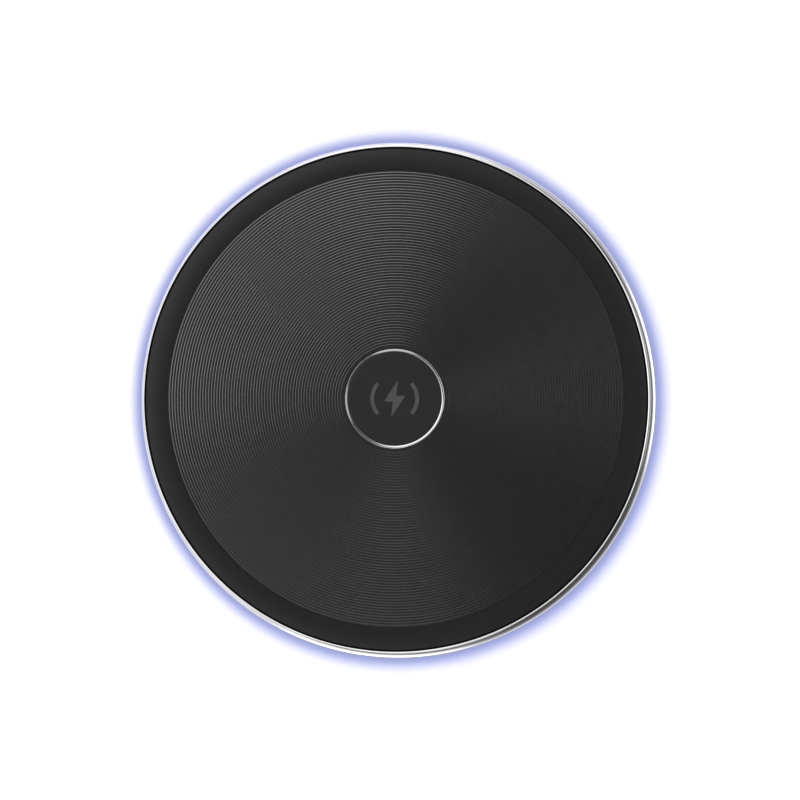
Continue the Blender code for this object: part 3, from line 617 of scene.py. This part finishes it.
def make_cover(plateau, shoulder_finish):
    """The grooved top cover with its shoulder, flange, skirt and posts; only the plateau is satin."""
    low, high = millimetres("top_cover")
    radius = high.x
    edge_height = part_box("trim_ring")[1][2] / MM
    shoulder = []
    for step in reversed(range(SHOULDER_STEPS)):
        share = step / SHOULDER_STEPS
        fall = (SHOULDER_TOP - edge_height) * share ** SHOULDER_POWER
        shoulder.append((SHOULDER_RADIUS + share * (radius - SHOULDER_RADIUS), SHOULDER_TOP - fall))
    steepness = (SHOULDER_TOP - edge_height) * SHOULDER_POWER / (radius - SHOULDER_RADIUS)
    edge = []
    for turned in np.linspace(0.0, math.pi / 2.0, COVER_EDGE_POINTS):
        inset = COVER_EDGE * (1.0 - math.cos(turned))
        rise = COVER_EDGE * (1.0 + steepness) * math.sin(turned)
        edge.append((radius - inset, edge_height - COVER_EDGE + rise))
    outline = [
        (BOSS_RADIUS, BOSS_BASE),
        (BOSS_RADIUS, COVER_CEILING),
        (SKIRT_OUTER, COVER_CEILING),
        (SKIRT_OUTER, FLANGE_BASE),
        (radius - FLANGE_BEVEL, FLANGE_BASE),
        (radius, FLANGE_BASE + FLANGE_BEVEL),
        *edge,
        *shoulder,
        (PLATEAU_RADIUS + PLATEAU_BREAK[0], high.z - PLATEAU_BREAK[1]),
        *groove_outline(POCKET_RADIUS + POCKET_LAND, GROOVES_END, high.z),
        *((POCKET_RADIUS + outwards, high.z - drop) for outwards, drop in POCKET_BREAK),
        (POCKET_RADIUS, POCKET_FLOOR),
    ]
    cap = turn(outline, closed=False)
    root = COVER_CEILING + OVERLAP
    skirt = turn([(SKIRT_INNER, SKIRT_BASE), (SKIRT_OUTER, SKIRT_BASE),
                  (SKIRT_OUTER, root), (SKIRT_INNER, root)], span=port_gap(SKIRT_OUTER))
    shapes = posts(POST_PITCH_RADIUS, POST_ANGLES, POST_RADII, low.z, root)
    shapes += posts(EAR_PITCH_RADIUS, EAR_ANGLES, EAR_RADII, EAR_POST_BASE, root)
    cover = mesh_piece("grooved_cover", joined(cap, skirt, *shapes), plateau,
                       ["top_cover"])
    cover.data.materials.append(shoulder_finish)
    for face in cover.data.polygons:
        on_plateau = face.center.xy.length < GROOVES_END * MM and face.center.z > COVER_CEILING * MM
        face.material_index = 0 if on_plateau else 1
    return cover


def make_centre_ring(material):
    """Polished ring whose top slopes in towards the badge, its edges just broken."""
    low, high = millimetres("centre_ring")
    outer = high.x
    fall = (outer - RING_EDGE - RING_INNER) * math.tan(RING_SLOPE)
    outline = [
        (RING_INNER, low.z, 0.0),
        (outer, low.z, 0.0),
        (outer, high.z - RING_EDGE, 0.02),
        (outer - RING_EDGE, high.z, 0.02),
        (RING_INNER, high.z - fall, 0.03),
    ]
    return mesh_piece("polished_centre_ring", turn(rounded(outline, 3)), material,
                      ["centre_ring"])


def make_badge(material):
    """The badge disc with a softly rounded rim."""
    low, high = millimetres("centre_badge")
    outline = rounded([
        (high.x, low.z, 0.0),
        (high.x, high.z, BADGE_EDGE),
        (BADGE_FLAT * high.x, high.z, 0.0),
    ], 5)
    return mesh_piece("badge_cap", turn(outline, closed=False), material,
                      ["centre_badge"])


def prism(outline, base, top):
    """An upright shape with a level outline."""
    count = len(outline)
    corners = [(x, y, base) for x, y in outline] + [(x, y, top) for x, y in outline]
    faces = [tuple(reversed(range(count))), tuple(range(count, 2 * count))]
    for index in range(count):
        after = (index + 1) % count
        faces.append((index, after, after + count, index + count))
    return corners, faces


def make_symbol(material):
    """A generic charging symbol on the badge: a bolt between two arcs."""
    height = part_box("centre_badge")[1][2] / MM
    base = height - INK_ROOT
    top = height + INK_HEIGHT
    arc_inner, arc_outer = ARC_RADII
    shapes = [prism(rounded(BOLT, 3), base, top)]
    for middle in (0.0, math.pi):
        ring = [(arc_inner, base), (arc_outer, base), (arc_outer, top), (arc_inner, top)]
        shapes.append(turn(ring, sides=ARC_SIDES, span=(middle - ARC_HALF_SPAN, middle + ARC_HALF_SPAN)))
    return mesh_piece("charge_symbol", joined(*shapes), material)


def lip(radius, base):
    """The trim's rounded slope from its widest place up to the foot of the wall."""
    points = []
    for step in range(LIP_STEPS + 1):
        quarter = math.pi / 2.0 * step / LIP_STEPS
        points.append((WALL_RADIUS + (radius - WALL_RADIUS) * math.cos(quarter) ** LIP_POWER,
                       base + (LIP_CREST - base) * math.sin(quarter) ** LIP_POWER, 0.0))
    return points


def stadium(size, corner, depth, level, steps=8):
    """A rounded rectangle round the port's axis, in a plane at the distance depth."""
    points = []
    for quarter, (side, up) in enumerate(((1, 1), (-1, 1), (-1, -1), (1, -1))):
        for step in range(steps + 1):
            angle = (quarter + step / steps) * math.pi / 2.0
            points.append((side * (size[0] / 2.0 - corner) + corner * math.cos(angle), depth,
                           level + up * (size[1] / 2.0 - corner) + corner * math.sin(angle)))
    return points


def loft(rings, closed):
    """A shape through equal rings of points, closed on itself or capped at both ends."""
    count = len(rings[0])
    corners = [point for ring in rings for point in ring]
    faces = []
    for row in range(len(rings) if closed else len(rings) - 1):
        near = row * count
        far = ((row + 1) % len(rings)) * count
        for index in range(count):
            after = (index + 1) % count
            faces.append((near + index, near + after, far + after, far + index))
    if not closed:
        faces.append(tuple(reversed(range(count))))
        faces.append(tuple(range(len(corners) - count, len(corners))))
    return corners, faces


def facing_out(shape):
    """The same shape with every face turned outwards."""
    mesh = bpy.data.meshes.new("scratch")
    mesh.from_pydata([tuple(corner) for corner in shape[0]], [], shape[1])
    work = bmesh.new()
    work.from_mesh(mesh)
    bmesh.ops.recalc_face_normals(work, faces=work.faces)
    corners = [tuple(vertex.co) for vertex in work.verts]
    faces = [tuple(vertex.index for vertex in face.verts) for face in work.faces]
    work.free()
    bpy.data.meshes.remove(mesh)
    return corners, faces


def port_centre():
    """Height of the receptacle's middle in millimetres."""
    low, high = millimetres("usb_c_shell")
    return (low.z + high.z) / 2.0


def make_trim(material):
    """The polished side ring, with rounded edges and the port's opening cut through."""
    low, high = millimetres("trim_ring")
    radius = high.x
    outline = rounded([
        (TRIM_INNER, low.z, 0.1),
        (radius - LIP_FOOT, low.z, 0.08),
        *lip(radius, low.z + LIP_FOOT),
        (CHAMFER_OUTER, high.z - (CHAMFER_OUTER - CHAMFER_INNER), 0.05),
        (CHAMFER_INNER, high.z, 0.03),
        (TRIM_MOUTH, high.z, 0.02),
        (TRIM_MOUTH, TRIM_LEDGE, 0.0),
        (TRIM_INNER, TRIM_LEDGE, 0.0),
    ])
    trim = mesh_piece("polished_trim", turn(outline), material, ["trim_ring"])
    start = millimetres("port_bezel")[0].y
    opening = (BEZEL_SIZE[0] + 2.0 * OPENING_GAP, BEZEL_SIZE[1] + 2.0 * OPENING_GAP)
    rings = [stadium(opening, PORT_CORNER + OPENING_GAP, depth, port_centre())
             for depth in (start, radius + CUTTER_REACH)]
    cutter = new_object("port_cutter", facing_out(loft(rings, closed=False)))
    cut = trim.modifiers.new("port", "BOOLEAN")
    cut.operation = "DIFFERENCE"
    cut.object = cutter
    trim.modifiers.move(len(trim.modifiers) - 1, 0)
    bake_modifier(trim, "port")
    bpy.data.objects.remove(cutter, do_unlink=True)
    shade(trim)
    return trim


def bake_modifier(piece, kept):
    """Replace a piece's mesh by what the one kept modifier makes of it."""
    for modifier in list(piece.modifiers):
        if modifier.name != kept:
            piece.modifiers.remove(modifier)
    bpy.context.view_layer.update()
    graph = bpy.context.evaluated_depsgraph_get()
    piece.data = bpy.data.meshes.new_from_object(piece.evaluated_get(graph))
    piece.modifiers.clear()


def make_bezel(material):
    """The sleeve that lines the port, with softened edges at its face."""
    low, high = millimetres("port_bezel")
    level = port_centre()
    face_size = (BEZEL_SIZE[0] - BEZEL_SOFT, BEZEL_SIZE[1] - BEZEL_SOFT)
    face_mouth = (BEZEL_MOUTH[0] + BEZEL_SOFT, BEZEL_MOUTH[1] + BEZEL_SOFT)
    rings = [
        stadium(BEZEL_FLANGE, PORT_CORNER, low.y, level),
        stadium(BEZEL_FLANGE, PORT_CORNER, low.y + BEZEL_FLANGE_DEPTH, level),
        stadium(BEZEL_SIZE, PORT_CORNER, low.y + BEZEL_FLANGE_DEPTH, level),
        stadium(BEZEL_SIZE, PORT_CORNER, high.y - BEZEL_SOFT, level),
        stadium(face_size, PORT_CORNER - BEZEL_SOFT / 2.0, high.y, level),
        stadium(face_mouth, BEZEL_INNER_CORNER + BEZEL_SOFT / 2.0, high.y, level),
        stadium(BEZEL_MOUTH, BEZEL_INNER_CORNER, high.y - BEZEL_SOFT, level),
        stadium(BEZEL_MOUTH, BEZEL_INNER_CORNER, low.y, level),
    ]
    return mesh_piece("port_sleeve", facing_out(loft(rings, closed=True)), material,
                      ["port_bezel"])


def make_shell(material):
    """The receptacle's drawn steel shell with a rolled front edge."""
    low, high = millimetres("usb_c_shell")
    level = port_centre()
    size = (high.x - low.x, high.z - low.z)
    roll = SHELL_WALL / 3.0

    def ring(inset, depth):
        return stadium((size[0] - 2.0 * inset, size[1] - 2.0 * inset), PORT_CORNER - inset, depth, level)

    rings = [
        ring(0.0, low.y),
        ring(0.0, high.y - roll),
        ring(roll / 3.0, high.y - roll / 3.0),
        ring(roll, high.y),
        ring(SHELL_WALL - roll, high.y),
        ring(SHELL_WALL - roll / 3.0, high.y - roll / 3.0),
        ring(SHELL_WALL, high.y - roll),
        ring(SHELL_WALL, low.y),
    ]
    return mesh_piece("receptacle_shell", facing_out(loft(rings, closed=True)), material,
                      ["usb_c_shell"])


def make_contacts(material):
    """Gold contact strips on both faces of the receptacle's tongue."""
    low, high = millimetres("usb_c_insulator")
    level = port_centre()
    half_width = CONTACT_WIDTH / 2.0
    half_thickness = CONTACT_THICKNESS / 2.0
    back = low.y + CONTACT_START
    shapes = []
    for index in range(CONTACTS):
        middle = (index - (CONTACTS - 1) / 2.0) * CONTACT_PITCH
        front = high.y - CONTACT_INSETS[0 if index in LONG_CONTACTS else 1]
        outline = [(middle - half_width, back), (middle + half_width, back),
                   (middle + half_width, front), (middle - half_width, front)]
        for face in (level + TONGUE_HALF_HEIGHT, level - TONGUE_HALF_HEIGHT):
            shapes.append(prism(outline, face - half_thickness, face + half_thickness))
    return mesh_piece("receptacle_contacts", joined(*shapes), material)


def make_guide(material):
    """The glowing ring: a flange under the trim and a neck that leaves the port open."""
    low, high = millimetres("light_guide")
    flange = turn(rounded([
        (GUIDE_FLANGE_INNER, low.z, 0.05),
        (high.x - GUIDE_CHAMFER, low.z, 0.15),
        (high.x, low.z + GUIDE_CHAMFER, 0.15),
        (high.x, GUIDE_FLANGE_TOP, 0.05),
        (GUIDE_NECK[0] + NECK_INSET, GUIDE_FLANGE_TOP, 0.0),
        (GUIDE_NECK[0] + NECK_INSET, GUIDE_FLANGE_TOP - NECK_WEB, 0.0),
        (GUIDE_FLANGE_INNER, GUIDE_FLANGE_TOP - NECK_WEB, 0.0),
    ]))
    neck = turn([
        (GUIDE_NECK[0], GUIDE_FLANGE_TOP), (GUIDE_NECK[1], GUIDE_FLANGE_TOP),
        (GUIDE_NECK[1], high.z), (GUIDE_NECK[0], high.z),
    ], span=port_gap(GUIDE_NECK[0]))
    return mesh_piece("glowing_guide", joined(flange, neck), material, ["light_guide"])


def make_foot(material):
    """The silicone ring with rounded edges and two shallow grip channels."""
    low, high = millimetres("foot_ring")
    inner = high.x - FOOT_WIDTH
    outline = [(inner, low.z, 0.3)]
    for share in CHANNEL_PLACES:
        middle = inner + share * (high.x - inner)
        outline += [
            (middle - CHANNEL_HALF_WIDTH, low.z, 0.1),
            (middle - CHANNEL_HALF_WIDTH / 2.0, low.z + CHANNEL_DEPTH, 0.1),
            (middle + CHANNEL_HALF_WIDTH / 2.0, low.z + CHANNEL_DEPTH, 0.1),
            (middle + CHANNEL_HALF_WIDTH, low.z, 0.1),
        ]
    outline += [(high.x, low.z, 0.3), (high.x, high.z, 0.1), (inner, high.z, 0.1)]
    return mesh_piece("grip_ring", turn(rounded(outline, 3), sides=FOOT_SIDES), material,
                      ["foot_ring"])


def make_case(material):
    """The bottom case: rounded rim, foot recess, a plain round panel and the four screw bosses."""
    low, high = millimetres("bottom_case")
    foot_radius = millimetres("foot_ring")[1].x
    outer = foot_radius + FOOT_GAP
    inner = foot_radius - FOOT_WIDTH - FOOT_GAP
    outline = rounded([
        (PANEL_RADIUS - PANEL_STEP, low.z + PANEL_DEPTH, 0.0),
        (PANEL_RADIUS, low.z, 0.05),
        (inner, low.z, 0.06),
        (inner, FOOT_SEAT, 0.0),
        (outer, FOOT_SEAT, 0.0),
        (outer, low.z, 0.06),
        (high.x - CASE_CHAMFER, low.z, 0.15),
        (high.x, low.z + CASE_CHAMFER, 0.15),
        (high.x, CASE_FLOOR, 0.05),
        (PANEL_RADIUS, CASE_FLOOR, 0.0),
    ], 3)
    base = turn(outline, closed=False, sides=CASE_SIDES)
    bosses = posts(POST_PITCH_RADIUS, POST_ANGLES, CASE_BOSS_RADII, CASE_FLOOR - OVERLAP, high.z)
    return mesh_piece("case_shell", joined(base, *bosses), material, ["bottom_case"])


# ---------------------------------------------------------------- the pad

case_black = moulded_material("case_black", (0.02, 0.02, 0.022), 0.58)
steel = metal_material("steel_sheet", (0.6, 0.6, 0.62), 0.3)
make_cover(plateau_material(), shoulder_material())
make_centre_ring(chrome_material("ring_chrome"))
make_badge(badge_material())
make_symbol(symbol_material())
make_trim(chrome_material("trim_chrome", SHADED_GAP_RADIUS))
make_guide(guide_material())
make_case(case_black)
make_foot(silicone_material())
make_bezel(case_black)
make_shell(steel)
make_contacts(metal_material("contact_gold", (0.85, 0.6, 0.25), 0.22))

package = moulded_material("chip_epoxy", (0.028, 0.028, 0.03), 0.5, 3800.0, 0.00001)
ferrite = moulded_material("ferrite_grey", (0.055, 0.055, 0.06), 0.6, 1800.0, 0.00003)
board = board_material()
aluminium = metal_material("aluminium_sheet", (0.74, 0.75, 0.77), 0.34, (0.03, 1.0, 1.0))
copper = copper_material()
tape = film_material("tape_film", (0.7, 0.62, 0.42))
heat_pad = film_material("heat_pad_grey", (0.4, 0.46, 0.55))
lit = led_material()
looks = {
    "badge_tape": tape, "coil_tape": tape, "foot_tape": tape, "thermal_pad": heat_pad,
    "coil_bracket": aluminium, "tx_coil": copper, "ferrite_disc": ferrite, "power_inductor": ferrite,
    "main_pcb": board, "crystal": steel, "usb_c_insulator": package,
    "resonant_capacitor": capacitor_material("ceramic_along_x", 0),
    "input_capacitor": capacitor_material("ceramic_along_y", 1),
    "case_screw": steel, "bracket_screw": steel, "led": lit,
    "controller_ic": package, "bridge_ic": package, "thermistor": package,
    "voltage_regulator": package, "sense_resistor": package,
}
for node_name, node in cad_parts.items():
    family = node_name.rstrip("0123456789").rstrip("_")
    look = looks.get(node_name) or looks.get(family)
    if look:
        node.data.materials.clear()
        node.data.materials.append(look)

# ---------------------------------------------------------------- studio

def make_floor():
    """White table, lit a little from within as a light table is."""
    shape = turn([(FLOOR_RADIUS, -FLOOR_DEPTH), (FLOOR_RADIUS, 0.0)], closed=False, sides=FLOOR_SIDES)
    look = Nodes("white_table", (0.86, 0.86, 0.86), 0.6)
    look.put("Emission Color", (1.0, 1.0, 1.0, 1.0))
    look.put("Emission Strength", FLOOR_STRENGTH)
    floor = stage_piece("table", shape, look.material)
    floor.location.z = -FLOOR_DROP * MM
    return floor


def stage_piece(name, shape, material):
    """A piece of the studio."""
    piece = new_object(name, shape)
    piece.data.materials.append(material)
    return piece


def make_painted_halo():
    """A painted pool of blue-violet light on the table, strongest at the trim: a disc whose emission takes
    the place of the table's white, so it paints both light and shade rather than carrying light that the
    guide throws.
    """
    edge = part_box("trim_ring")[1][0] / MM
    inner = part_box("light_guide")[1][0] / MM - HALO_ROOT
    outer = edge + HALO_REACH
    material = bpy.data.materials.new("painted_light_on_table")
    material.use_nodes = True
    tree = material.node_tree
    tree.nodes.clear()
    place = add_node(tree, "ShaderNodeTexCoord").outputs["Object"]
    radius = add_node(tree, "ShaderNodeVectorMath", {"operation": "LENGTH"}, i0=place).outputs["Value"]
    share = add_node(tree, "ShaderNodeMapRange", i0=radius, i1=(edge - HALO_ONSET) * MM,
                     i2=outer * MM).outputs[0]
    ramp = add_node(tree, "ShaderNodeValToRGB", i0=share)
    ramp.color_ramp.interpolation = "B_SPLINE"
    while len(ramp.color_ramp.elements) < len(HALO_STOPS):
        ramp.color_ramp.elements.new(0.5)
    for element, (position, weight) in zip(ramp.color_ramp.elements, HALO_STOPS):
        element.position = position
        element.color = (weight, weight, weight, 1.0)
    # painted pool: violet emission blended over the table by the ramp's weight, painting light in blue and
    # shade in red and green
    clear = add_node(tree, "ShaderNodeBsdfTransparent").outputs[0]
    painted_glow = add_node(tree, "ShaderNodeEmission", Color=PAINTED_HALO_COLOUR, Strength=1.0).outputs[0]
    blend = add_node(tree, "ShaderNodeMixShader", i0=ramp.outputs[0], i1=clear, i2=painted_glow).outputs[0]
    add_node(tree, "ShaderNodeOutputMaterial", i0=blend)
    base, top = HALO_HEIGHTS
    ring = [(inner, base), (outer, base), (outer, top), (inner, top)]
    pool = stage_piece("painted_light_pool", turn(ring), material)
    # the painted pool is kept out of glossy reflections
    pool.visible_glossy = False
    return pool


def direction(azimuth, zenith):
    """A unit vector; azimuth turns from +X to +Y and zenith is measured from straight up."""
    return Vector((math.sin(zenith) * math.cos(azimuth), math.sin(zenith) * math.sin(azimuth),
                   math.cos(zenith)))


def add_softbox(name, azimuth, zenith, half_width, radiance):
    """A round softbox that looks at the pad; angles in degrees as the pad sees it."""
    light = bpy.data.lights.new(name, "AREA")
    light.shape = "DISK"
    light.size = 2.0 * SOFTBOX_DISTANCE * math.tan(math.radians(half_width))
    light.energy = radiance * math.pi * math.pi * light.size ** 2 / 4.0
    lamp = bpy.data.objects.new(name, light)
    where = direction(math.radians(azimuth), math.radians(zenith))
    lamp.location = where * SOFTBOX_DISTANCE
    lamp.rotation_mode = "QUATERNION"
    lamp.rotation_quaternion = (-where).to_track_quat("-Z", "Y")
    bpy.context.scene.collection.objects.link(lamp)
    return lamp


def make_world():
    """A white horizon under a dark ceiling, with dark and bright cards that metal and grooves reflect."""
    world = bpy.data.worlds.new("studio")
    world.use_nodes = True
    bpy.context.scene.world = world
    tree = world.node_tree
    background = tree.nodes["Background"]
    background.inputs["Color"].default_value = (1.0, 1.0, 1.0, 1.0)

    def ramp(value, low, high, to_low, to_high):
        return add_node(tree, "ShaderNodeMapRange", {"interpolation_type": "SMOOTHSTEP"}, i0=value,
                        i1=low, i2=high, i3=to_low, i4=to_high).outputs[0]

    def maths(operation, first, second):
        return add_node(tree, "ShaderNodeMath", {"operation": operation}, i0=first, i1=second).outputs[0]

    def vector_maths(operation, **inputs):
        return add_node(tree, "ShaderNodeVectorMath", {"operation": operation}, **inputs)

    ray = add_node(tree, "ShaderNodeTexCoord").outputs["Generated"]
    height = add_node(tree, "ShaderNodeSeparateXYZ", i0=ray).outputs["Z"]
    level = vector_maths("MULTIPLY", i0=ray, i1=(1.0, 1.0, 0.0)).outputs[0]
    flat = vector_maths("NORMALIZE", i0=level).outputs[0]
    brightness = maths("ADD", ramp(height, *CEILING_RISE, HORIZON_LIGHT, CEILING_LIGHT),
                       ramp(height, *OVERHEAD_RISE, 0.0, OVERHEAD_LIGHT))
    for azimuth, half_width, low, high, gain, radiance in CARDS:
        middle = direction(math.radians(azimuth), math.pi / 2.0)
        towards = vector_maths("DOT_PRODUCT", i0=flat, i1=middle).outputs["Value"]
        width = ramp(towards, math.cos(math.radians(half_width)),
                     math.cos(math.radians(half_width * CARD_CORE)), 0.0, 1.0)
        above = ramp(height, math.sin(math.radians(low)), math.sin(math.radians(low + CARD_FADES[0])),
                     0.0, 1.0)
        below = ramp(height, math.sin(math.radians(high - CARD_FADES[1])), math.sin(math.radians(high)),
                     1.0, 0.0)
        share = maths("MULTIPLY", maths("MULTIPLY", above, below), width)
        scaled = maths("MULTIPLY", brightness, maths("ADD", maths("MULTIPLY", share, gain), 1.0))
        brightness = maths("ADD", scaled, maths("MULTIPLY", share, radiance))
    tree.links.new(brightness, background.inputs["Strength"])
    return world


def make_camera():
    """A long lens almost straight above, leaning a little towards the front right."""
    data = bpy.data.cameras.new("camera")
    data.lens = CAMERA_LENS
    data.sensor_width = CAMERA_SENSOR
    camera = bpy.data.objects.new("camera", data)
    back = direction(CAMERA_AZIMUTH, CAMERA_TILT)
    right = Vector((0.0, 1.0, 0.0)).cross(back).normalized()
    up = back.cross(right)
    turned_to = Matrix((right, up, back)).transposed()
    camera.matrix_world = Matrix.LocRotScale(CAMERA_AIM + back * CAMERA_DISTANCE, turned_to, None)
    bpy.context.scene.collection.objects.link(camera)
    bpy.context.scene.camera = camera
    return camera


make_floor()
make_painted_halo()
make_world()
for softbox in SOFTBOXES:
    add_softbox(*softbox)
make_camera()
bpy.context.scene.view_settings.view_transform = "Standard"
